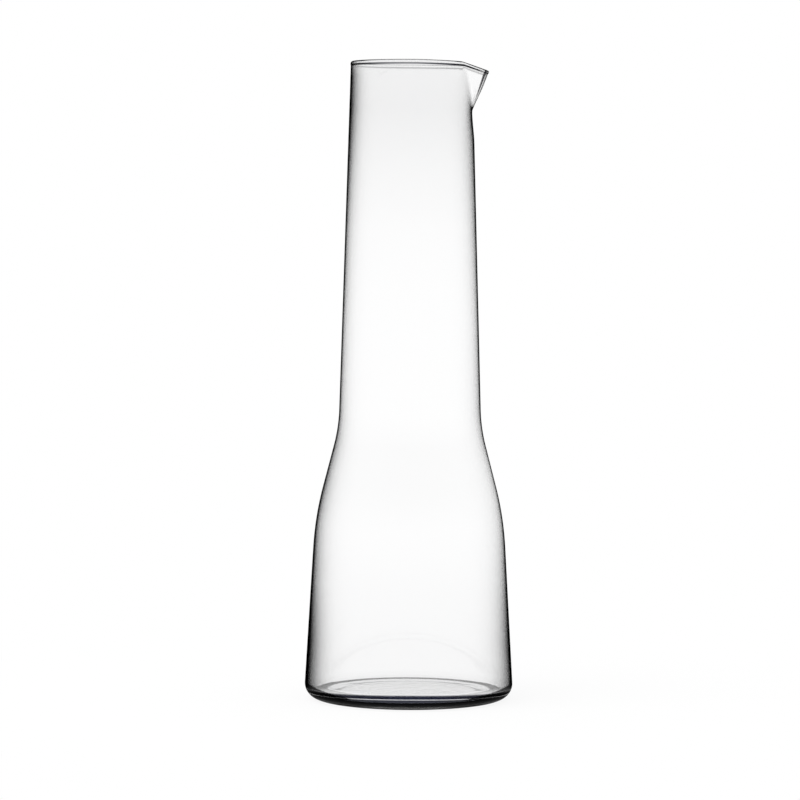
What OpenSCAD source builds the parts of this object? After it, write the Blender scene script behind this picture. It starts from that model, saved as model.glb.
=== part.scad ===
// Water carafe: one piece of blown clear glass with a tall neck and a pulled pouring spout.
// Millimetres, +Z up. The origin is on the axis, in the plane that the carafe rests on.
// The spout points along +X.

/* [Body] */
// Height from the resting plane to the top of the lip
height = 300; // [240:1:380]
// Outer diameter at which the body's side would meet the resting plane, before the foot is rounded
base_d = 99; // [85:0.5:115]
// Radius of the rounded foot
foot_round = 7.2; // [4:0.1:10]
// Outer diameter where the body's side and the shoulder meet, before rounding
shoulder_d = 89; // [82:0.5:96]
// Height at which the body's side and the shoulder meet
shoulder_z = 86; // [74:0.5:100]
// Radius of the soft bend between the body's side and the shoulder
shoulder_round = 148; // [60:1:200]

/* [Neck] */
// Outer diameter where the shoulder and the neck meet, before rounding
neck_d = 67.2; // [62:0.2:74]
// Height at which the shoulder and the neck meet
neck_z = 128; // [118:0.5:140]
// Radius of the hollow bend between the shoulder and the neck
neck_round = 77; // [30:1:110]
// Outer diameter of the mouth at the lip
mouth_d = 57; // [50:0.2:64]

/* [Glass] */
// Wall thickness of the body, the shoulder and the neck
wall = 1.8; // [1.4:0.1:2.6]
// Height of the inner floor above the resting plane
floor_z = 4; // [3:0.1:8]
// Radius of the bend between the inner floor and the inner side
floor_round = 4; // [2:0.5:8]
// Width of the ring that the carafe rests on
ring_w = 4; // [2:0.5:8]
// Rise of the flat-roofed hollow under the base
hollow_h = 0.8; // [0.4:0.1:1.4]
// Width of the slope between the ring and the hollow's roof
hollow_run = 6; // [4:0.5:12]

/* [Spout] */
// How far the spout's tip stands out past the mouth
spout_reach = 7.9; // [5:0.1:10]
// How far the spout's tip lies below the top of the lip
spout_dip = 3.7; // [1:0.1:5]
// Length of the spout, from the top of the lip down to the root of its keel
spout_len = 23; // [16:0.5:28]
// Wall thickness of the glass at the keel, where it is drawn thin
spout_wall = 1.4; // [1.2:0.05:1.8]
// Angle on each side of the tip at which the lip leaves its circle
spout_spread = 31; // [24:1:38]
// Angle on each side of the keel's root over which the spout runs out into the neck
root_spread = 14; // [8:1:20]
// Angle on each side of the tip over which the tip is rounded
tip_spread = 2; // [1:0.25:4]
// How far the neck is drawn in just under the spout
draw_in = 0.7; // [0:0.1:1]
// Height of the stretch under the spout over which the neck is drawn in
draw_h = 15; // [10:1:26]

/* [Hidden] */

glass_colour = [0.86, 0.91, 0.92, 0.45];

// Steps of each rounded corner, and of the turned wall
arc_steps = 10;
turn_steps = 144;

// Steps of the pulled sector: each side of the tip, up each face of the wall
side_steps = 20;
rise_steps = 14;

// Radius of the bend at the edge of the hollow's roof
roof_round = 8;
// Rounding of each edge of the lip, as a share of the wall
lip_round_share = 0.48;
// Powers of the pull and of the dip: at these values the lip runs nearly straight to the tip
pull_share = 1.6;
dip_share = 1.15;
// Crowding of the steps towards the tip
crowd_share = 1.5;

// The pulled sector stands in a notch of the turned wall. Its edges run into the wall by seam_run,
// and its faces lie seam_inset under the wall's faces, so that only the notch's flat sides meet it.
seam_run = 1.2;
seam_inset = 0.03;
// The notch reaches past the spout by this angle on each side, and down past the drawn-in stretch
notch_margin = 5;
notch_spread = spout_spread + notch_margin;
notch_z = height - spout_len - draw_h - seam_run;
// One overrun for cuts
overrun = 5;

mouth_r = mouth_d / 2;
root_z = height - spout_len;
lip_round = lip_round_share * wall;

// Corners of the wall's outer face, from the resting ring up to the lip
foot_corner = [base_d / 2, 0];
shoulder_corner = [shoulder_d / 2, shoulder_z];
neck_corner = [neck_d / 2, neck_z];
mouth_corner = [mouth_r, height];

// Direction from point a to point b
function towards(a, b) = (b - a) / norm(b - a);
// Left-hand normal of a direction: it points from the outer face into the wall
function into_wall(d) = [-d.y, d.x];
// Corner p between its neighbours a and b, moved into the wall by the thickness t
function inner_corner(a, p, b, t) =
    let (m = into_wall(towards(a, p)), n = into_wall(towards(p, b)))
    p + t * (m + n) / (1 + m * n);
// Point at height z on the line from a to b
function at_height(a, b, z) = a + (b - a) * (z - a.y) / (b.y - a.y);

// Points of the arc of radius r that rounds the corner p between its neighbours a and b
function rounded(a, p, b, r) =
    let (
        back = towards(p, a),
        on = towards(p, b),
        half = acos(back * on) / 2,
        centre = p + towards([0, 0], back + on) * r / sin(half),
        first = p + back * r / tan(half) - centre,
        last = p + on * r / tan(half) - centre,
        sweep = 180 - 2 * half,
        way = sign(first.x * last.y - first.y * last.x)
    )
    [for (i = [0:arc_steps])
        let (turn = way * sweep * i / arc_steps)
        centre + [
            first.x * cos(turn) - first.y * sin(turn),
            first.x * sin(turn) + first.y * cos(turn)
        ]];

// Corners of the wall's inner face
shoulder_inner = inner_corner(foot_corner, shoulder_corner, neck_corner, wall);
neck_inner = inner_corner(shoulder_corner, neck_corner, mouth_corner, wall);
side_normal = into_wall(towards(foot_corner, shoulder_corner));
neck_normal = into_wall(towards(neck_corner, mouth_corner));
floor_corner = at_height(foot_corner + side_normal * wall, shoulder_inner, floor_z);
mouth_inner = at_height(neck_inner, mouth_corner + neck_normal * wall, height);

// Rounded foot, and the resting ring that runs inwards from it
foot_arc = rounded([0, 0], foot_corner, shoulder_corner, foot_round);
ring_inner_r = foot_arc[0].x - ring_w;
// The hollow under the base has a flat roof, and a slope from the roof down to the ring
roof_middle = [0, hollow_h];
roof_edge = [ring_inner_r - hollow_run, hollow_h];
ring_edge = [ring_inner_r, 0];

// Half section of the whole wall, in radius and height
wall_section = concat(
    [roof_middle],
    rounded(roof_middle, roof_edge, ring_edge, roof_round),
    [ring_edge],
    foot_arc,
    rounded(foot_corner, shoulder_corner, neck_corner, shoulder_round),
    rounded(shoulder_corner, neck_corner, mouth_corner, neck_round),
    rounded(neck_corner, mouth_corner, mouth_inner, lip_round),
    rounded(mouth_corner, mouth_inner, neck_inner, lip_round),
    rounded(mouth_inner, neck_inner, shoulder_inner, neck_round + wall),
    rounded(neck_inner, shoulder_inner, floor_corner, shoulder_round - wall),
    rounded(shoulder_inner, floor_corner, [0, floor_z], floor_round),
    [[0, floor_z]]
);

// Section of the neck's top that the spout is pulled from, just inside the wall's faces
sector_foot_z = notch_z - seam_run;
sector_drop = [0, -seam_inset];
sector_out = mouth_corner + neck_normal * seam_inset + sector_drop;
sector_in = mouth_inner - neck_normal * seam_inset + sector_drop;
sector_out_foot = at_height(neck_corner, mouth_corner, sector_foot_z) + neck_normal * seam_inset;
sector_in_foot = at_height(neck_inner, mouth_inner, sector_foot_z) - neck_normal * seam_inset;
sector_round = lip_round - seam_inset;
lip_out = rounded(sector_out_foot, sector_out, sector_in, sector_round);
lip_in = rounded(sector_out, sector_in, sector_in_foot, sector_round);

// Evenly spaced points from a up to, but not including, b
function rise(a, b) = [for (i = [0:rise_steps - 1]) a + (b - a) * i / rise_steps];
// The same points in reverse, from b down to a
function fall(b, a) = [for (i = [rise_steps - 1:-1:0]) a + (b - a) * i / rise_steps];

sector_section = concat(
    rise(sector_out_foot, lip_out[0]),
    lip_out,
    lip_in,
    fall(lip_in[arc_steps], sector_in_foot)
);

// How near the angle a is to the tip, where the spout spreads over the angle spread:
// one at the tip, and zero where the lip leaves its circle
function near_tip(a, spread) =
    max(0, 1 - (sqrt(a * a + tip_spread * tip_spread) - tip_spread) / spread);
// Share of the spout's length that lies below height z
function spout_share(z) = max(0, (z - root_z) / spout_len);
// A smooth bump, one in the middle and zero at either end
function bump(t) = abs(t) < 1 ? pow(1 - t * t, 2) : 0;
// How deep a point lies in the wall: zero on the outer face and one on the inner face
function depth_share(p) =
    min(1, max(0, (at_height(neck_corner, mouth_corner, p.y).x - p.x) / wall));

// Point p of the section, turned to angle a, pulled out along the spout and lowered towards its tip
function pulled(p, a) =
    let (
        up = spout_share(p.y),
        near = near_tip(a, root_spread + (spout_spread - root_spread) * up),
        reach = (spout_reach + depth_share(p) * (wall - spout_wall)) * up * pow(near, pull_share),
        dip = spout_dip * up * pow(near, dip_share),
        drawn = draw_in * bump(a / spout_spread) * bump((p.y - root_z) / draw_h)
    )
    [p.x * cos(a) + reach - drawn, p.x * sin(a), p.y - dip];

// Angles of the sector's sections, closer together towards the tip
sector_angle = notch_spread + asin(seam_run / mouth_r);
section_angles = [for (i = [-side_steps:side_steps])
    sign(i) * sector_angle * pow(abs(i) / side_steps, crowd_share)];

section_size = len(sector_section);
section_count = len(section_angles);
sector_points = [for (a = section_angles) for (p = sector_section) pulled(p, a)];
// Faces between one section and the next, and a flat end at either side
sector_faces = concat(
    [for (j = [0:section_count - 2]) for (i = [0:section_size - 1])
        let (
            k = (i + 1) % section_size,
            here = j * section_size,
            next = here + section_size
        )
        each [[here + i, here + k, next + k], [here + i, next + k, next + i]]],
    [[for (i = [section_size - 1:-1:0]) i]],
    [[for (i = [0:section_size - 1]) (section_count - 1) * section_size + i]]
);

// The turned wall, with a notch in the neck's top for the pulled sector
module turned_wall() {
    difference() {
        rotate_extrude($fn = turn_steps) polygon(wall_section);
        translate([0, 0, notch_z])
            rotate_extrude(angle = 2 * notch_spread, start = -notch_spread, $fn = turn_steps)
                square([mouth_r + overrun, height - notch_z + overrun]);
    }
}

// The sector of the neck and lip that is pulled out into the spout
module pulled_spout() {
    polyhedron(points = sector_points, faces = sector_faces, convexity = 4);
}

module carafe_glass() {
    color(glass_colour)
        union() {
            turned_wall();
            pulled_spout();
        }
}

carafe_glass();
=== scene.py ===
"""A water carafe of clear blown glass, dressed for its picture.

The wall is drawn as a half section, turned round the axis, and pulled out into a pouring spout at the lip.
One clear glass finish covers it, with shade painted into a dark coat at its edges, lip, spout, foot and
floor.
A white studio, a pale floor and a long lens make the picture.
"""

import logging
import math
from dataclasses import dataclass, field
from enum import Enum

import bpy
from mathutils import Matrix, Vector

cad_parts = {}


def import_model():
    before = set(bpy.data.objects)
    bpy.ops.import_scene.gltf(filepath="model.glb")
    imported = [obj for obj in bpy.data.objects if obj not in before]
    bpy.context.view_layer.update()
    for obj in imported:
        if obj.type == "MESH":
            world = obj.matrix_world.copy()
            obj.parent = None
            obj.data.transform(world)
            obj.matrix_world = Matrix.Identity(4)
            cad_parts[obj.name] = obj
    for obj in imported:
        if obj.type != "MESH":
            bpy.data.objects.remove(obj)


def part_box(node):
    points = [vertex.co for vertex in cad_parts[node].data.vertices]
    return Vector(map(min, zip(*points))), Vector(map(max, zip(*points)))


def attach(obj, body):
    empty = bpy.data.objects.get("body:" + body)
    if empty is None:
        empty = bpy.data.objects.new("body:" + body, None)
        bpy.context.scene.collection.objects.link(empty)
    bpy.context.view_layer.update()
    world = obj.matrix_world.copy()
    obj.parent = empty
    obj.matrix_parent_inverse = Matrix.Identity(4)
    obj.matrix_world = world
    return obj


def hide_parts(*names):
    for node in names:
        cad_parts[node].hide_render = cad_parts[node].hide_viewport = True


LOG = logging.getLogger("carafe")
MM = 0.001
GLASS_NODE = "carafe_glass"
BODY = "root"

Socket = bpy.types.NodeSocket
Level = Socket | float
Colour = tuple[float, float, float, float]
Stops = tuple[tuple[float, float], ...]


class Ray(Enum):
    """The kinds of ray that Light Path tells apart here, by the names of its outputs."""

    CAMERA = "Is Camera Ray"
    GLOSSY = "Is Glossy Ray"
    TRANSMISSION = "Is Transmission Ray"


def clamped(value: float) -> float:
    """Keep a number between zero and one."""
    return min(1.0, max(0.0, value))


def towards(start: Vector, end: Vector) -> Vector:
    """Give the unit direction from one point to another."""
    return (end - start).normalized()


def into_wall(direction: Vector) -> Vector:
    """Give the left-hand normal of a direction, which points from the outer face into the wall."""
    return Vector((-direction.y, direction.x))


def inner_corner(before: Vector, corner: Vector, after: Vector, wall: float) -> Vector:
    """Move a corner of the outer face into the wall.

    Args:
        before: The outer face's corner before this one.
        corner: The corner to move.
        after: The outer face's corner after this one.
        wall: The thickness of the wall.

    Returns:
        The corner of the inner face.
    """
    first = into_wall(towards(before, corner))
    second = into_wall(towards(corner, after))
    return corner + (first + second) * wall / (1.0 + first.dot(second))


def at_height(start: Vector, end: Vector, height: float) -> Vector:
    """Give the point at a height on the line through two points."""
    return start + (end - start) * ((height - start.y) / (end.y - start.y))


def stretch(start: Vector, end: Vector, step: float) -> list[Vector]:
    """Space points evenly between two points, without the two themselves.

    Args:
        start: The first end of the stretch.
        end: The other end.
        step: The widest spacing of the points.

    Returns:
        The points in between, in order.
    """
    count = math.ceil((end - start).length / step)
    return [start.lerp(end, i / count) for i in range(1, count)]


def rounded(before: Vector, corner: Vector, after: Vector, radius: float, steps: int) -> list[Vector]:
    """Round a corner with an arc.

    Args:
        before: A point on the line that comes in.
        corner: The corner.
        after: A point on the line that goes out.
        radius: The radius of the arc.
        steps: How many straight steps make the arc.

    Returns:
        The arc's points, both ends included.
    """
    back = towards(corner, before)
    onward = towards(corner, after)
    half = back.angle(onward) / 2.0
    centre = corner + (back + onward).normalized() * (radius / math.sin(half))
    first = corner + back * (radius / math.tan(half)) - centre
    last = corner + onward * (radius / math.tan(half)) - centre
    sweep = math.copysign(math.pi - 2.0 * half, first.x * last.y - first.y * last.x)
    return [centre + Matrix.Rotation(sweep * i / steps, 2) @ first for i in range(steps + 1)]


@dataclass(frozen=True)
class Spout:
    """The pouring spout: a sector of the lip and the neck's top that is pulled out along +X."""

    reach: float = 7.9 * MM
    dip: float = 3.7 * MM
    length: float = 23.0 * MM
    wall: float = 1.4 * MM
    spread: float = math.radians(31.0)
    root_spread: float = math.radians(14.0)
    tip_spread: float = math.radians(2.0)
    draw_in: float = 0.7 * MM
    draw_height: float = 15.0 * MM
    pull_power: float = 1.6
    dip_power: float = 1.15
    # The lip sinks gently before it reaches the spout, between two angles from the tip
    sag: float = 0.45 * MM
    sag_from: float = math.radians(85.0)
    sag_to: float = math.radians(35.0)
    # The wall round the spout is clear of the neck's painted shade, which comes back past these angles and
    # heights
    clear_spread: float = math.radians(30.0)
    clear_fade: float = math.radians(25.0)
    clear_below: float = 8.0 * MM
    clear_rise: float = 16.0 * MM

    @staticmethod
    def bump(share: float) -> float:
        """Give a smooth bump, one in the middle and zero at either end."""
        return (1.0 - share * share) ** 2 if abs(share) < 1.0 else 0.0

    def rise(self, height: float, top: float) -> float:
        """Say how far up the spout a height lies, from zero at its root to one at the lip."""
        return max(0.0, (height - top + self.length) / self.length)

    def spread_at(self, height: float, top: float) -> float:
        """Give the angle over which the spout spreads at a height."""
        return self.root_spread + (self.spread - self.root_spread) * self.rise(height, top)

    def nearness(self, angle: float, spread: float) -> float:
        """Say how near an angle is to the tip.

        Args:
            angle: The angle from the tip, about the axis.
            spread: The angle over which the spout spreads at this height.

        Returns:
            One at the tip, and zero where the lip leaves its circle.
        """
        rounded_angle = math.hypot(angle, self.tip_spread) - self.tip_spread
        return max(0.0, 1.0 - rounded_angle / spread)

    def clearness(self, angle: float, height: float, top: float) -> float:
        """Say how far the wall beside the spout is clear of the neck's painted shade.

        Args:
            angle: The angle from the tip, about the axis.
            height: The point's height.
            top: The height of the lip.

        Returns:
            One on the spout and close beside it, and zero well away from it.
        """
        beside = (self.spread_at(height, top) + self.clear_spread - abs(angle)) / self.clear_fade
        above = (height - top + self.length + self.clear_below) / self.clear_rise
        return clamped(beside) * clamped(above)

    def pull_share(self, angle: float, height: float, top: float) -> float:
        """Say how far a point is pulled out, as a share of the spout's reach.

        Args:
            angle: The angle from the tip, about the axis.
            height: The point's height.
            top: The height of the lip.

        Returns:
            One at the tip, and zero off the spout.
        """
        near = self.nearness(angle, self.spread_at(height, top))
        return self.rise(height, top) * near**self.pull_power

    def move(self, angle: float, height: float, depth: float, wall: float, top: float) -> Vector:
        """Work out how far a point of the turned wall is pulled.

        Args:
            angle: The point's angle from the tip.
            height: The point's height.
            depth: How deep the point lies in the wall, zero outside and one inside.
            wall: The thickness of the turned wall.
            top: The height of the lip.

        Returns:
            The move, as a vector.
        """
        rise = self.rise(height, top)
        near = self.nearness(angle, self.spread_at(height, top))
        pull = (self.reach + depth * (wall - self.wall)) * self.pull_share(angle, height, top)
        sunk = clamped((self.sag_from - abs(angle)) / (self.sag_from - self.sag_to))
        fall = (self.dip * near**self.dip_power + self.sag * sunk) * rise
        above_root = (height - top + self.length) / self.draw_height
        drawn = self.draw_in * self.bump(angle / self.spread) * self.bump(above_root)
        return Vector((pull - drawn, 0.0, -fall))


class Nodes:
    """A node tree that is filled from code, from an empty start."""

    def __init__(self, tree: bpy.types.NodeTree) -> None:
        """Take a tree over and empty it."""
        self.tree = tree
        tree.nodes.clear()

    def add(self, kind: str, **sources: Socket) -> bpy.types.Node:
        """Add a node and link what feeds it.

        Args:
            kind: The node's type.
            **sources: The sockets that feed its inputs, by the inputs' names.

        Returns:
            The node.
        """
        node = self.tree.nodes.new(kind)
        for name, source in sources.items():
            self.link(source, node.inputs[name])
        return node

    def link(self, source: Socket, target: Socket) -> None:
        """Link an output to an input."""
        self.tree.links.new(source, target)

    def feed(self, target: Socket, value: Level) -> None:
        """Link an output to an input, or set the input to a number.

        Args:
            target: The input.
            value: The output that feeds it, or the number.
        """
        if isinstance(value, Socket):
            self.link(value, target)
        else:
            target.default_value = value

    def math(self, operation: str, first: Level, second: Level = 0.0) -> Socket:
        """Add a sum.

        Args:
            operation: The name of the Math node's operation.
            first: The first number or socket.
            second: The second number or socket, where the operation takes one.

        Returns:
            The result.
        """
        node = self.add("ShaderNodeMath")
        node.operation = operation
        self.feed(node.inputs[0], first)
        self.feed(node.inputs[1], second)
        return node.outputs["Value"]

    def ramp(self, value: Socket, zero: float, one: float) -> Socket:
        """Rise from zero at one value to one at another, and stay level past both.

        Args:
            value: The socket that is measured.
            zero: Where the ramp starts.
            one: Where it ends.

        Returns:
            The share.
        """
        node = self.add("ShaderNodeMapRange", Value=value)
        node.inputs["From Min"].default_value = zero
        node.inputs["From Max"].default_value = one
        return node.outputs["Result"]

    def profile(self, value: Socket, stops: Stops) -> Socket:
        """Follow straight stretches from one stop to the next, and stay level past both ends.

        Args:
            value: The socket that is measured.
            stops: Pairs of a value and the level there, in rising order.

        Returns:
            The level.
        """
        first = stops[0][0]
        last = stops[-1][0]
        node = self.add("ShaderNodeValToRGB", Fac=self.ramp(value, first, last))
        elements = node.color_ramp.elements
        for place, _ in stops[1:-1]:
            elements.new((place - first) / (last - first))
        for element, (_, level) in zip(elements, stops):
            element.color = (level, level, level, 1.0)
        return node.outputs["Color"]

    def mark(self, name: str) -> Socket:
        """Read a mark that the mesh carries.

        Args:
            name: The attribute's name.

        Returns:
            The mark.
        """
        node = self.add("ShaderNodeAttribute")
        node.attribute_name = name
        return node.outputs["Fac"]

    def facing(self) -> Socket:
        """Say how far the surface is turned away, from zero seen face on to one seen edge on."""
        return self.add("ShaderNodeLayerWeight").outputs["Facing"]

    def any_ray(self, *kinds: Ray) -> Socket:
        """Say whether the ray is of one of some kinds.

        Args:
            *kinds: The kinds.

        Returns:
            One if it is, and zero if it isn't.
        """
        rays = self.add("ShaderNodeLightPath")
        found = rays.outputs[kinds[0].value]
        for kind in kinds[1:]:
            found = self.math("MAXIMUM", found, rays.outputs[kind.value])
        return found

    def blend(self, share: Socket, zero: Level, one: Level) -> Socket:
        """Go from one level to another.

        Args:
            share: How far to go.
            zero: The level at a share of zero.
            one: The level at a share of one.

        Returns:
            The level.
        """
        node = self.add("ShaderNodeMix", Factor=share)
        self.feed(node.inputs["A"], zero)
        self.feed(node.inputs["B"], one)
        return node.outputs["Result"]


@dataclass(frozen=True)
class ClearGlass:
    """The finish: clear blown glass, fire-polished, with shade painted into a dark coat where it is seen
    edge on.
    """

    name: str = "clear_glass"
    ior: float = 1.5
    roughness: float = 0.0
    transmission: float = 1.0
    colour: Colour = (1.0, 1.0, 1.0, 1.0)
    # The painted shade is a dark coat that has no shine of its own
    painted_shade_tint: Colour = (0.008, 0.012, 0.038, 1.0)
    painted_shade_ior: float = 1.0
    painted_shade_roughness: float = 0.0
    # Marks that the mesh carries
    outer_face: str = "outer_face"
    lip_depth: str = "lip_depth"
    spout_pull: str = "spout_pull"
    keel: str = "keel"
    # Depth of the wall's painted shade by height: where the wall turns away, close to its edge, and face on
    side_power: float = 4.2
    side_profile: Stops = (
        (4.0 * MM, 0.0),
        (5.0 * MM, 0.5),
        (5.6 * MM, 2.5),
        (6.5 * MM, 11.0),
        (7.0 * MM, 14.0),
        (8.5 * MM, 9.0),
        (10.4 * MM, 8.4),
        (28.0 * MM, 8.1),
        (56.0 * MM, 4.2),
        (83.0 * MM, 2.7),
        (110.0 * MM, 2.2),
        (180.0 * MM, 2.2),
        (221.0 * MM, 3.2),
        (248.0 * MM, 4.8),
        (278.0 * MM, 7.5),
        (292.0 * MM, 6.8),
        (297.5 * MM, 4.5),
    )
    edge_facing: float = 0.8
    edge_power: float = 24.0
    edge_profile: Stops = (
        (6.8 * MM, 0.0),
        (8.8 * MM, 3.2),
        (28.0 * MM, 2.5),
        (42.0 * MM, 1.3),
        (83.0 * MM, 0.6),
        (110.0 * MM, 0.4),
        (150.0 * MM, 1.0),
        (234.0 * MM, 1.4),
        (262.0 * MM, 2.5),
        (278.0 * MM, 3.8),
        (292.0 * MM, 2.5),
        (297.5 * MM, 0.8),
    )
    face_profile: Stops = (
        (28.0 * MM, 0.05),
        (56.0 * MM, 0.03),
        (83.0 * MM, 0.0),
        (193.0 * MM, 0.0),
        (221.0 * MM, 0.01),
        (248.0 * MM, 0.05),
        (278.0 * MM, 0.115),
        (294.0 * MM, 0.1),
    )
    # How much lighter the painted shade is on the spout's side, and darker on the other, by height
    painted_lean_profile: Stops = (
        (28.0 * MM, 0.25),
        (56.0 * MM, 0.2),
        (83.0 * MM, 0.31),
        (97.0 * MM, 0.48),
        (111.0 * MM, 0.45),
        (138.0 * MM, 0.06),
        (221.0 * MM, 0.04),
        (248.0 * MM, 0.13),
        (262.0 * MM, 0.19),
        (278.0 * MM, 0.3),
    )
    # Share of the wall's painted shade that is left, from well away from the spout to the spout itself
    spout_clear: Stops = (
        (0.0, 1.0),
        (0.5, 0.55),
        (1.0, 0.03),
    )
    # Painted dark line beside the spout's keel: its profile across, where it starts to show, and how it
    # fades downwards
    keel_profile: Stops = (
        (0.83, 0.0),
        (0.88, 2.8),
        (0.91, 2.8),
        (0.96, 0.0),
    )
    keel_from: tuple[float, float] = (0.22, 0.38)
    keel_fade: Stops = (
        (6.0 * MM, 1.0),
        (12.0 * MM, 0.7),
        (18.0 * MM, 0.25),
        (26.0 * MM, 0.0),
    )
    # Painted dark bands in the foot by level. The level counts up towards the sides, so the bands lie lower
    # there
    foot_profile: Stops = (
        (2.72 * MM, 3.0),
        (2.82 * MM, 0.0),
        (3.08 * MM, 0.0),
        (3.45 * MM, 1.5),
        (5.0 * MM, 3.1),
        (5.5 * MM, 3.2),
        (5.78 * MM, 0.4),
        (5.95 * MM, 0.4),
        (6.25 * MM, 4.5),
        (6.85 * MM, 4.0),
        (7.4 * MM, 1.5),
        (7.8 * MM, 0.0),
    )
    foot_turn: float = 2.6 * MM
    foot_power: float = 0.75
    # Painted shade on the foot's lowest edge, darker towards both sides
    foot_under: Stops = (
        (3.05 * MM, 3.0),
        (3.4 * MM, 0.0),
    )
    foot_aside: tuple[float, float] = (0.3, 0.7)
    # Painted dark line under the lip's bead by depth: outside, and then inside by nearness to the spout
    lip_profile: Stops = (
        (0.0, 0.6),
        (0.4 * MM, 0.0),
        (1.35 * MM, 0.0),
        (1.65 * MM, 1.0),
        (1.95 * MM, 1.0),
        (2.35 * MM, 0.0),
    )
    lip_face: float = 1.25
    lip_side: float = 8.0
    lip_lean: float = 0.25
    lip_spout: float = 0.32
    tip_from: tuple[float, float] = (0.3, 0.7)
    lip_inside: Stops = (
        (0.0, 0.35),
        (0.35, 0.6),
        (1.0, 0.6),
    )
    inside_scale: Stops = (
        (0.0, 0.88),
        (0.35, 0.86),
        (1.0, 0.76),
    )
    # Painted dark line round the inner floor by distance from the axis
    painted_floor_line: Stops = (
        (38.0 * MM, 0.4),
        (39.5 * MM, 3.4),
        (43.6 * MM, 4.0),
        (44.3 * MM, 0.0),
    )
    floor_power: float = 7.0
    # Tint of the glass itself
    absorb_colour: Colour = (0.30, 0.36, 0.46, 1.0)
    absorb_density: float = 3.0
    # Ripple of the inner floor and the underside
    base_top: float = 20.0 * MM
    ripple_size: float = 5.0 * MM
    ripple_detail: float = 2.0
    ripple_height: float = 0.03 * MM
    ripple_rim: float = 38.0 * MM
    ripple_fade: float = 5.0 * MM

    def marks(self) -> tuple[str, ...]:
        """Name the marks that the finish reads from the mesh."""
        return (self.outer_face, self.lip_depth, self.spout_pull, self.keel)

    def material(self) -> bpy.types.Material:
        """Build the glass.

        Returns:
            The material.
        """
        material = bpy.data.materials.new(self.name)
        material.use_nodes = True
        nodes = Nodes(material.node_tree)
        glass = nodes.add("ShaderNodeBsdfPrincipled")
        glass.inputs["Base Color"].default_value = self.colour
        glass.inputs["IOR"].default_value = self.ior
        glass.inputs["Roughness"].default_value = self.roughness
        glass.inputs["Transmission Weight"].default_value = self.transmission
        glass.inputs["Coat IOR"].default_value = self.painted_shade_ior
        glass.inputs["Coat Roughness"].default_value = self.painted_shade_roughness
        glass.inputs["Coat Tint"].default_value = self.painted_shade_tint
        place = nodes.add("ShaderNodeTexCoord").outputs["Object"]
        parts = nodes.add("ShaderNodeSeparateXYZ", Vector=place)
        across = nodes.add("ShaderNodeVectorMath", Vector=place)
        across.operation = "MULTIPLY"
        across.inputs[1].default_value = (1.0, 1.0, 0.0)
        length = nodes.add("ShaderNodeVectorMath", Vector=across.outputs["Vector"])
        length.operation = "LENGTH"
        radius = length.outputs["Value"]
        height = parts.outputs["Z"]
        lean = nodes.math("DIVIDE", parts.outputs["X"], radius)
        # The coat's weight carries the painted shade, and the coat's tint is the colour of that painted
        # shade
        nodes.link(self.painted_shade(nodes, height, radius, lean), glass.inputs["Coat Weight"])
        nodes.link(self.base_ripple(nodes, place, height, radius), glass.inputs["Normal"])
        inside = nodes.add("ShaderNodeVolumeAbsorption")
        inside.inputs["Color"].default_value = self.absorb_colour
        inside.inputs["Density"].default_value = self.absorb_density
        output = nodes.add("ShaderNodeOutputMaterial")
        nodes.link(glass.outputs["BSDF"], output.inputs["Surface"])
        nodes.link(inside.outputs["Volume"], output.inputs["Volume"])
        return material

    def painted_shade(self, nodes: Nodes, height: Socket, radius: Socket, lean: Socket) -> Socket:
        """Paint shade into the glass where it is seen edge on and in dark lines and bands, on the face that
        the light leaves by.

        Args:
            nodes: The material's nodes.
            height: The height of the point.
            radius: The point's distance from the axis.
            lean: How far the point lies towards the spout's side, from minus one to one.

        Returns:
            The painted shade, from zero for clear to one for dark.
        """
        outside = nodes.math("ADD", self.painted_wall_shade(nodes, height, lean), self.painted_lip_line(nodes, lean))
        outside = nodes.math("ADD", outside, self.painted_foot_bands(nodes, height, lean))
        outside = nodes.math("ADD", outside, self.painted_keel_line(nodes))
        line = nodes.math("MULTIPLY", self.floor_edge(nodes, radius), self.below(nodes, height))
        inside = nodes.math("ADD", self.painted_inner_lip_line(nodes), line)
        depth = nodes.blend(nodes.mark(self.outer_face), inside, outside)
        clear = nodes.math("EXPONENT", nodes.math("MULTIPLY", depth, -1.0))
        behind = nodes.add("ShaderNodeNewGeometry").outputs["Backfacing"]
        front = nodes.math("SUBTRACT", 1.0, behind)
        return nodes.math("MULTIPLY", nodes.math("SUBTRACT", 1.0, clear), front)

    def painted_wall_shade(self, nodes: Nodes, height: Socket, lean: Socket) -> Socket:
        """Work out how deep the painted shade of the outer wall is: more towards the lip, the foot and the
        edges.

        Args:
            nodes: The material's nodes.
            height: The height of the point.
            lean: How far the point lies towards the spout's side, from minus one to one.

        Returns:
            The depth.
        """
        facing = nodes.facing()
        turned = nodes.math("POWER", facing, self.side_power)
        side = nodes.math("MULTIPLY", turned, nodes.profile(height, self.side_profile))
        towards_edge = nodes.math("DIVIDE", facing, self.edge_facing)
        near_edge = nodes.math("POWER", towards_edge, self.edge_power)
        edge = nodes.math("MULTIPLY", near_edge, nodes.profile(height, self.edge_profile))
        both = nodes.math("ADD", side, edge)
        # The painted shade is lighter on the spout's side and darker on the other side
        painted_side_lift = nodes.math("MULTIPLY", nodes.profile(height, self.painted_lean_profile), lean)
        both = nodes.math("MULTIPLY", both, nodes.math("SUBTRACT", 1.0, painted_side_lift))
        whole = nodes.math("ADD", both, nodes.profile(height, self.face_profile))
        left = nodes.profile(nodes.mark(self.spout_pull), self.spout_clear)
        return nodes.math("MULTIPLY", whole, left)

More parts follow.
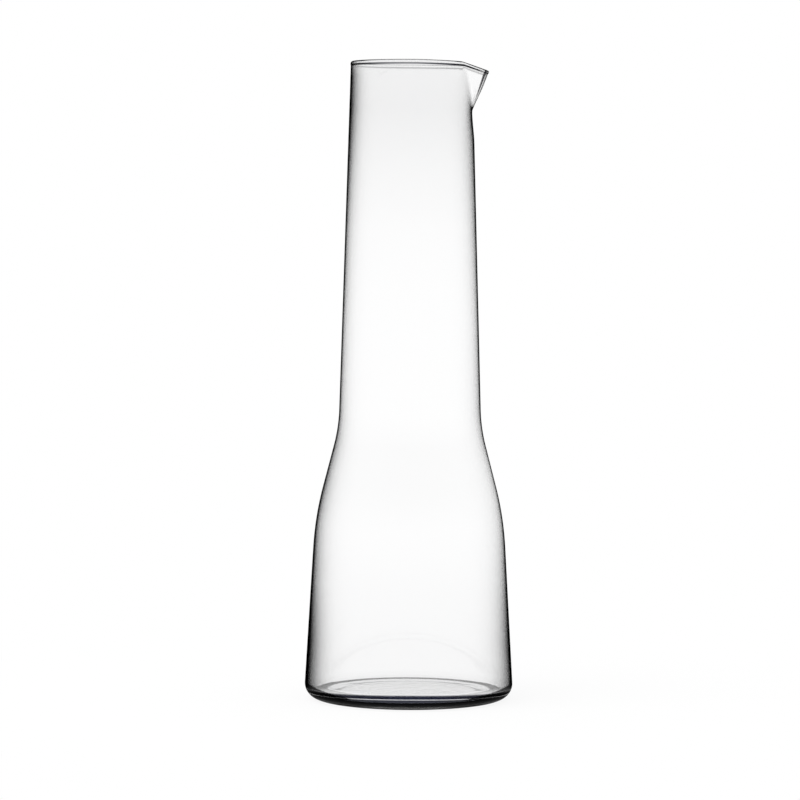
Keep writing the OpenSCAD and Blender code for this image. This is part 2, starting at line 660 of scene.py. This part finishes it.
    def painted_foot_bands(self, nodes: Nodes, height: Socket, lean: Socket) -> Socket:
        """Work out the depth of the painted dark bands in the foot, which sink at the sides.

        Args:
            nodes: The material's nodes.
            height: The height of the point.
            lean: How far the point lies towards the spout's side, from minus one to one.

        Returns:
            The depth.
        """
        facing = nodes.facing()
        turned = nodes.math("POWER", facing, self.foot_power)
        level = nodes.math("ADD", nodes.math("MULTIPLY", turned, self.foot_turn), height)
        aside = nodes.ramp(nodes.math("ABSOLUTE", lean), *self.foot_aside)
        under = nodes.math("MULTIPLY", nodes.profile(level, self.foot_under), aside)
        return nodes.math("ADD", nodes.profile(level, self.foot_profile), under)

    def floor_edge(self, nodes: Nodes, radius: Socket) -> Socket:
        """Work out the depth of the painted dark line round the inner floor, which shows where it is seen at
        a slant.

        Args:
            nodes: The material's nodes.
            radius: The point's distance from the axis.

        Returns:
            The depth.
        """
        facing = nodes.facing()
        slant = nodes.math("POWER", facing, self.floor_power)
        seen = nodes.math("MULTIPLY", slant, nodes.any_ray(Ray.TRANSMISSION))
        return nodes.math("MULTIPLY", nodes.profile(radius, self.painted_floor_line), seen)

    def painted_keel_line(self, nodes: Nodes) -> Socket:
        """Work out the depth of the painted dark line beside the spout's keel, which shows from the side and
        fades down.

        Args:
            nodes: The material's nodes.

        Returns:
            The depth.
        """
        line = nodes.profile(nodes.mark(self.keel), self.keel_profile)
        aside = nodes.ramp(nodes.facing(), *self.keel_from)
        seen = nodes.math("MULTIPLY", line, aside)
        return nodes.math("MULTIPLY", seen, nodes.profile(nodes.mark(self.lip_depth), self.keel_fade))

    def painted_lip_line(self, nodes: Nodes, lean: Socket) -> Socket:
        """Work out the depth of the painted dark line under the lip's bead, stronger at the sides and faint
        at the spout.

        Args:
            nodes: The material's nodes.
            lean: How far the point lies towards the spout's side, from minus one to one.

        Returns:
            The depth.
        """
        line = nodes.profile(nodes.mark(self.lip_depth), self.lip_profile)
        facing = nodes.facing()
        strength = nodes.math("ADD", nodes.math("MULTIPLY", facing, self.lip_side), self.lip_face)
        # The painted line is darker on the spout's side and lighter on the other side
        painted_side_weight = nodes.math("ADD", nodes.math("MULTIPLY", lean, self.lip_lean), 1.0)
        tip = nodes.ramp(nodes.mark(self.keel), *self.tip_from)
        share = nodes.blend(tip, painted_side_weight, self.lip_spout)
        return nodes.math("MULTIPLY", line, nodes.math("MULTIPLY", strength, share))

    def painted_inner_lip_line(self, nodes: Nodes) -> Socket:
        """Work out the depth of the painted dark line under the bead inside, which lies lower towards the
        spout.

        Args:
            nodes: The material's nodes.

        Returns:
            The depth.
        """
        near_spout = nodes.mark(self.spout_pull)
        scale = nodes.profile(near_spout, self.inside_scale)
        level = nodes.math("MULTIPLY", nodes.mark(self.lip_depth), scale)
        line = nodes.profile(level, self.lip_profile)
        return nodes.math("MULTIPLY", line, nodes.profile(near_spout, self.lip_inside))

    def below(self, nodes: Nodes, height: Socket) -> Socket:
        """Say whether a point lies in the base, and not in the wall above it."""
        return nodes.math("LESS_THAN", height, self.base_top)

    def base_ripple(self, nodes: Nodes, place: Socket, height: Socket, radius: Socket) -> Socket:
        """Ripple the inner floor and the underside, as glass that cooled there.

        Args:
            nodes: The material's nodes.
            place: The point's place.
            height: The point's height.
            radius: The point's distance from the axis.

        Returns:
            The normal.
        """
        noise = nodes.add("ShaderNodeTexNoise", Vector=place)
        noise.inputs["Scale"].default_value = 1.0 / self.ripple_size
        noise.inputs["Detail"].default_value = self.ripple_detail
        within = nodes.ramp(radius, self.ripple_rim + self.ripple_fade, self.ripple_rim)
        share = nodes.math("MULTIPLY", within, self.below(nodes, height))
        waves = nodes.math("MULTIPLY", noise.outputs["Fac"], share)
        ripple = nodes.add("ShaderNodeBump", Height=waves)
        ripple.inputs["Distance"].default_value = self.ripple_height
        return ripple.outputs["Normal"]


@dataclass
class CarafeGlass:
    """The carafe: one wall of glass, from the resting ring up to the lip and down to the inner floor."""

    height: float
    base_d: float = 99.0 * MM
    foot_round: float = 7.2 * MM
    shoulder_d: float = 89.0 * MM
    shoulder_z: float = 86.0 * MM
    shoulder_round: float = 148.0 * MM
    neck_d: float = 67.2 * MM
    neck_z: float = 128.0 * MM
    neck_round: float = 77.0 * MM
    mouth_d: float = 57.0 * MM
    wall: float = 1.8 * MM
    floor_z: float = 4.0 * MM
    floor_round: float = 4.0 * MM
    ring_w: float = 4.0 * MM
    hollow_h: float = 0.8 * MM
    hollow_run: float = 6.0 * MM
    roof_round: float = 8.0 * MM
    # The lip's bead: how far it stands proud of each face, its height to its width, and the bend under it
    bead_swell: float = 0.18 * MM
    bead_stretch: float = 1.25
    bead_bend: float = 0.6 * MM
    spout: Spout = field(default_factory=Spout)
    finish: ClearGlass = field(default_factory=ClearGlass)
    # Steps of the mesh. The sector that the spout is pulled from is turned in finer ones
    bend_steps: int = 14
    bead_steps: int = 28
    lip_bend_steps: int = 6
    long_step: float = 4.0 * MM
    spout_step: float = 1.3 * MM
    spout_side: float = math.radians(36.0)
    spout_turns: int = 144
    back_turns: int = 120
    merge_within: float = 0.001 * MM
    # How the marks are set: what counts as the outer face, and where the spout and the painted line by its
    # keel lie
    outward_least: float = 0.03
    pull_gain: float = 20.0
    keel_drift: float = 0.12

    def __post_init__(self) -> None:
        """Work out the corners of the wall's two faces, as points of radius and height."""
        self.foot = Vector((self.base_d / 2.0, 0.0))
        self.shoulder = Vector((self.shoulder_d / 2.0, self.shoulder_z))
        self.neck = Vector((self.neck_d / 2.0, self.neck_z))
        self.mouth = Vector((self.mouth_d / 2.0, self.height))
        self.shoulder_in = inner_corner(self.foot, self.shoulder, self.neck, self.wall)
        self.neck_in = inner_corner(self.shoulder, self.neck, self.mouth, self.wall)
        side = into_wall(towards(self.foot, self.shoulder)) * self.wall
        top = into_wall(towards(self.neck, self.mouth)) * self.wall
        self.floor_edge = at_height(self.foot + side, self.shoulder_in, self.floor_z)
        self.mouth_in = at_height(self.neck_in, self.mouth + top, self.height)

    def spout_foot(self) -> float:
        """Give the height of the lowest point that the spout moves."""
        return self.height - self.spout.length - self.spout.draw_height

    def underside(self, ring_inner: float) -> list[Vector]:
        """Draw the shallow hollow under the base: a flat roof, and a slope down to the resting ring.

        Args:
            ring_inner: The radius of the resting ring's inner edge.

        Returns:
            The points of radius and height, from the axis out to the ring.
        """
        middle = Vector((0.0, self.hollow_h))
        roof_edge = Vector((ring_inner - self.hollow_run, self.hollow_h))
        ring_edge = Vector((ring_inner, 0.0))
        bend = rounded(middle, roof_edge, ring_edge, self.roof_round, self.bend_steps)
        return [middle, *stretch(middle, bend[0], self.long_step), *bend, ring_edge]

    def lip(self) -> list[Vector]:
        """Draw the lip: a bead midway through the wall, with a hollow bend into each face.

        Returns:
            The points of radius and height, from the outer face over the bead to the inner face.
        """
        up = towards(self.neck, self.mouth)
        inward = into_wall(up)
        bead = self.wall / 2.0 + self.bead_swell
        middle = inward * (self.wall / 2.0)
        along_wall = up * self.bead_stretch
        centre = at_height(self.neck + middle, self.mouth + middle, self.height - bead * self.bead_stretch)
        out = self.wall / 2.0 + self.bead_bend
        under = math.acos(out / (bead + self.bead_bend))
        drop = (bead + self.bead_bend) * math.sin(under)
        bend = [under * i / self.lip_bend_steps for i in range(self.lip_bend_steps + 1)]
        rise = [(self.bead_bend * math.cos(a) - out, self.bead_bend * math.sin(a) - drop) for a in bend]
        sweep = math.pi + 2.0 * under
        turns = [sweep * i / self.bead_steps - under for i in range(1, self.bead_steps)]
        over = [(-bead * math.cos(a), bead * math.sin(a)) for a in turns]
        fall = [(-across, along) for across, along in reversed(rise)]
        return [centre + inward * across + along_wall * along for across, along in rise + over + fall]

    def section(self) -> list[Vector]:
        """Draw the half section of the wall.

        Returns:
            The points of radius and height, from under the base, up the outside and down the inside.
        """
        spout_foot = self.spout_foot()
        steps = self.bend_steps
        neck_in_round = self.neck_round + self.wall
        shoulder_in_round = self.shoulder_round - self.wall
        floor_middle = Vector((0.0, self.floor_z))
        foot = rounded(Vector((0.0, 0.0)), self.foot, self.shoulder, self.foot_round, steps)
        bends = [
            self.underside(foot[0].x - self.ring_w),
            foot,
            rounded(self.foot, self.shoulder, self.neck, self.shoulder_round, steps),
            rounded(self.shoulder, self.neck, self.mouth, self.neck_round, steps),
            [at_height(self.neck, self.mouth, spout_foot)],
            self.lip(),
            [at_height(self.neck_in, self.mouth_in, spout_foot)],
            rounded(self.mouth_in, self.neck_in, self.shoulder_in, neck_in_round, steps),
            rounded(self.neck_in, self.shoulder_in, self.floor_edge, shoulder_in_round, steps),
            rounded(self.shoulder_in, self.floor_edge, floor_middle, self.floor_round, steps),
            [floor_middle],
        ]
        points = list(bends[0])
        for bend in bends[1:]:
            near_spout = min(points[-1].y, bend[0].y) > spout_foot - self.long_step / 2.0
            points += stretch(points[-1], bend[0], self.spout_step if near_spout else self.long_step)
            points += bend
        return points

    def draw_section(self) -> bpy.types.Object:
        """Draw the half section as a chain of edges, at one side of the spout.

        Returns:
            The new object, in edit mode with all of the chain selected.
        """
        side = Matrix.Rotation(-self.spout_side, 3, "Z")
        points = [side @ Vector((p.x, 0.0, p.y)) for p in self.section()]
        bpy.ops.object.select_all(action="DESELECT")
        bpy.ops.mesh.primitive_plane_add(size=self.wall, location=(0.0, 0.0, 0.0))
        piece = bpy.context.object
        piece.name = "blown_carafe"
        piece.data.name = piece.name
        bpy.ops.object.mode_set(mode="EDIT")
        bpy.ops.mesh.select_mode(type="VERT")
        bpy.ops.mesh.select_all(action="SELECT")
        bpy.ops.mesh.merge(type="CENTER")
        bpy.ops.transform.translate(value=points[0])
        for here, onward in zip(points, points[1:]):
            bpy.ops.mesh.extrude_region_move(TRANSFORM_OT_translate={"value": onward - here})
        bpy.ops.mesh.select_all(action="SELECT")
        return piece

    def turn(self) -> None:
        """Turn the section round the axis, in finer steps where the spout will be, and close the wall."""
        sectors = [
            (2.0 * self.spout_side, self.spout_turns),
            (2.0 * math.pi - 2.0 * self.spout_side, self.back_turns),
        ]
        for angle, steps in sectors:
            bpy.ops.mesh.spin(steps=steps, angle=angle, center=(0.0, 0.0, 0.0), axis=(0.0, 0.0, 1.0))
        bpy.ops.mesh.select_all(action="SELECT")
        bpy.ops.mesh.remove_doubles(threshold=self.merge_within)
        bpy.ops.mesh.normals_make_consistent(inside=False)
        bpy.ops.object.mode_set(mode="OBJECT")

    def pull_spout(self, piece: bpy.types.Object) -> None:
        """Pull the spout out of the turned wall, and mark how near each point is to it and to its keel.

        Args:
            piece: The turned carafe.
        """
        mesh = piece.data
        pulled = mesh.attributes[self.finish.spout_pull]
        keel = mesh.attributes[self.finish.keel]
        low = self.spout_foot()
        for vertex, share, nearness in zip(mesh.vertices, pulled.data, keel.data):
            place = vertex.co
            if place.z < low:
                continue
            radius = math.hypot(place.x, place.y)
            angle = math.atan2(place.y, place.x)
            outside = at_height(self.neck, self.mouth, place.z).x
            depth = clamped((outside - radius) / self.wall)
            move = self.spout.move(angle, place.z, depth, self.wall, self.height)
            pull = clamped(self.pull_gain * self.spout.pull_share(angle, place.z, self.height))
            share.value = (self.spout.clearness(angle, place.z, self.height) + pull) / 2.0
            near = self.spout.nearness(angle, self.spout.spread_at(place.z, self.height))
            nearness.value = near + self.keel_drift * (1.0 - self.spout.rise(place.z, self.height))
            vertex.co = place + move

    def mark_faces(self, piece: bpy.types.Object) -> None:
        """Mark the wall's outer face, and each point's depth below the lip, in attributes of the mesh.

        Args:
            piece: The turned carafe.
        """
        mesh = piece.data
        for name in self.finish.marks():
            mesh.attributes.new(name, "FLOAT", "POINT")
        outer = mesh.attributes[self.finish.outer_face]
        depth = mesh.attributes[self.finish.lip_depth]
        for vertex, on_outside, below_lip in zip(mesh.vertices, outer.data, depth.data):
            outward = Vector((vertex.co.x, vertex.co.y, 0.0)).normalized()
            on_outside.value = 1.0 if vertex.normal.dot(outward) > self.outward_least else 0.0
            below_lip.value = self.height - vertex.co.z

    def build(self) -> bpy.types.Object:
        """Model the carafe and dress it.

        Returns:
            The finished piece.
        """
        piece = self.draw_section()
        self.turn()
        self.mark_faces(piece)
        self.pull_spout(piece)
        bpy.ops.object.shade_smooth()
        piece.data.materials.append(self.finish.material())
        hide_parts(GLASS_NODE)
        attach(piece, BODY)
        LOG.info("%s: %d faces", piece.name, len(piece.data.polygons))
        return piece


@dataclass
class Backdrop:
    """The studio: white to the camera, and to the glass a bright band under a dark ceiling."""

    band_middle: float = math.radians(-3.5)
    band_below: float = math.radians(22.0)
    band_above: float = math.radians(40.0)
    top_level: float = 0.03
    room_level: float = 0.9
    camera_level: float = 1.0
    colour: Colour = (1.0, 1.0, 1.0, 1.0)

    def build(self) -> None:
        """Build the world's nodes."""
        world = bpy.data.worlds.new("studio")
        bpy.context.scene.world = world
        world.use_nodes = True
        nodes = Nodes(world.node_tree)
        in_glass = nodes.any_ray(Ray.GLOSSY, Ray.TRANSMISSION)
        unseen = nodes.blend(in_glass, self.room_level, self.band_level(nodes))
        level = nodes.blend(nodes.any_ray(Ray.CAMERA), unseen, self.camera_level)
        light = nodes.add("ShaderNodeBackground", Strength=level)
        light.inputs["Color"].default_value = self.colour
        nodes.add("ShaderNodeOutputWorld", Surface=light.outputs["Background"])

    def band_level(self, nodes: Nodes) -> Socket:
        """Shape the bright band by the height that a ray looks up to.

        Args:
            nodes: The world's nodes.

        Returns:
            The brightness.
        """
        place = nodes.add("ShaderNodeTexCoord").outputs["Generated"]
        parts = nodes.add("ShaderNodeSeparateXYZ", Vector=place)
        tilt = nodes.math("SUBTRACT", nodes.math("ARCSINE", parts.outputs["Z"]), self.band_middle)
        half = nodes.blend(nodes.math("GREATER_THAN", tilt, 0.0), self.band_below, self.band_above)
        up = nodes.math("DIVIDE", tilt, half)
        squared = nodes.math("MULTIPLY", up, up)
        glow = nodes.math("EXPONENT", nodes.math("MULTIPLY", squared, -1.0))
        return nodes.math("MAXIMUM", glow, self.top_level)


@dataclass
class Floor:
    """The pale floor: white to the camera and to the glass, with the shadow on its matt share."""

    radius: float = 3.0
    sides: int = 96
    gap: float = 0.1 * MM
    matt_share: float = 0.12
    matt_reach: float = 0.25
    matt_colour: Colour = (0.9, 0.9, 0.9, 1.0)

    def build(self) -> bpy.types.Object:
        """Lay the floor under the carafe.

        Returns:
            The floor.
        """
        bpy.ops.object.select_all(action="DESELECT")
        bpy.ops.mesh.primitive_circle_add(vertices=self.sides, radius=self.radius, fill_type="NGON")
        bpy.ops.transform.translate(value=(0.0, 0.0, -self.gap))
        floor = bpy.context.object
        floor.name = "studio_floor"
        floor.data.materials.append(self.material())
        return floor

    def material(self) -> bpy.types.Material:
        """Build the floor's paint.

        Returns:
            The material.
        """
        material = bpy.data.materials.new("studio_floor")
        material.use_nodes = True
        nodes = Nodes(material.node_tree)
        place = nodes.add("ShaderNodeTexCoord").outputs["Object"]
        away = nodes.add("ShaderNodeVectorMath", Vector=place)
        away.operation = "LENGTH"
        bare = nodes.ramp(away.outputs["Value"], 0.0, self.matt_reach)
        seen = nodes.blend(bare, 1.0 - self.matt_share, 1.0)
        camera = nodes.math("MULTIPLY", nodes.any_ray(Ray.CAMERA), seen)
        white = nodes.math("MAXIMUM", camera, nodes.any_ray(Ray.GLOSSY, Ray.TRANSMISSION))
        matt = nodes.add("ShaderNodeBsdfDiffuse")
        matt.inputs["Color"].default_value = self.matt_colour
        glow = nodes.add("ShaderNodeEmission")
        mixed = nodes.add("ShaderNodeMixShader", Fac=white)
        nodes.link(matt.outputs["BSDF"], mixed.inputs[1])
        nodes.link(glow.outputs["Emission"], mixed.inputs[2])
        nodes.add("ShaderNodeOutputMaterial", Surface=mixed.outputs["Shader"])
        return material


@dataclass
class SoftLamp:
    """A large soft lamp, which lights the floor and isn't itself seen in the glass."""

    name: str = "key_lamp"
    place: tuple[float, float, float] = (-0.9, -0.6, 1.6)
    size: float = 1.2
    power: float = 14.0

    def build(self) -> None:
        """Hang the lamp, aimed at the carafe's foot."""
        data = bpy.data.lights.new(self.name, "AREA")
        data.size = self.size
        data.energy = self.power
        lamp = bpy.data.objects.new(self.name, data)
        lamp.location = self.place
        lamp.rotation_euler = (-Vector(self.place)).to_track_quat("-Z", "Y").to_euler()
        lamp.visible_camera = False
        lamp.visible_glossy = False
        lamp.visible_transmission = False
        bpy.context.scene.collection.objects.link(lamp)


@dataclass
class LongLens:
    """The camera: far off, a little below the lip, with a long lens."""

    place: tuple[float, float, float] = (0.0, -1.7, 0.231)
    focal_mm: float = 162.6
    sensor_mm: float = 36.0
    down: float = math.radians(3.03)
    left: float = math.radians(0.159)
    roll: float = math.radians(0.282)

    def build(self) -> None:
        """Set the camera up and make it the scene's."""
        data = bpy.data.cameras.new("long_lens")
        data.lens = self.focal_mm
        data.sensor_width = self.sensor_mm
        camera = bpy.data.objects.new("long_lens", data)
        turn = Matrix.Rotation(self.left, 4, "Z")
        tilt = Matrix.Rotation(math.pi / 2.0 - self.down, 4, "X")
        lean = Matrix.Rotation(self.roll, 4, "Z")
        camera.matrix_world = Matrix.Translation(self.place) @ turn @ tilt @ lean
        bpy.context.scene.collection.objects.link(camera)
        bpy.context.scene.camera = camera


def main() -> None:
    """Build the carafe, the studio and the camera."""
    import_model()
    logging.basicConfig(level=logging.INFO, format="%(message)s")
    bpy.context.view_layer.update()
    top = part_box(GLASS_NODE)[1].z
    LongLens().build()
    CarafeGlass(height=top).build()
    Floor().build()
    Backdrop().build()
    SoftLamp().build()
    bpy.context.scene.view_settings.view_transform = "Standard"


if __name__ == "__main__":
    main()
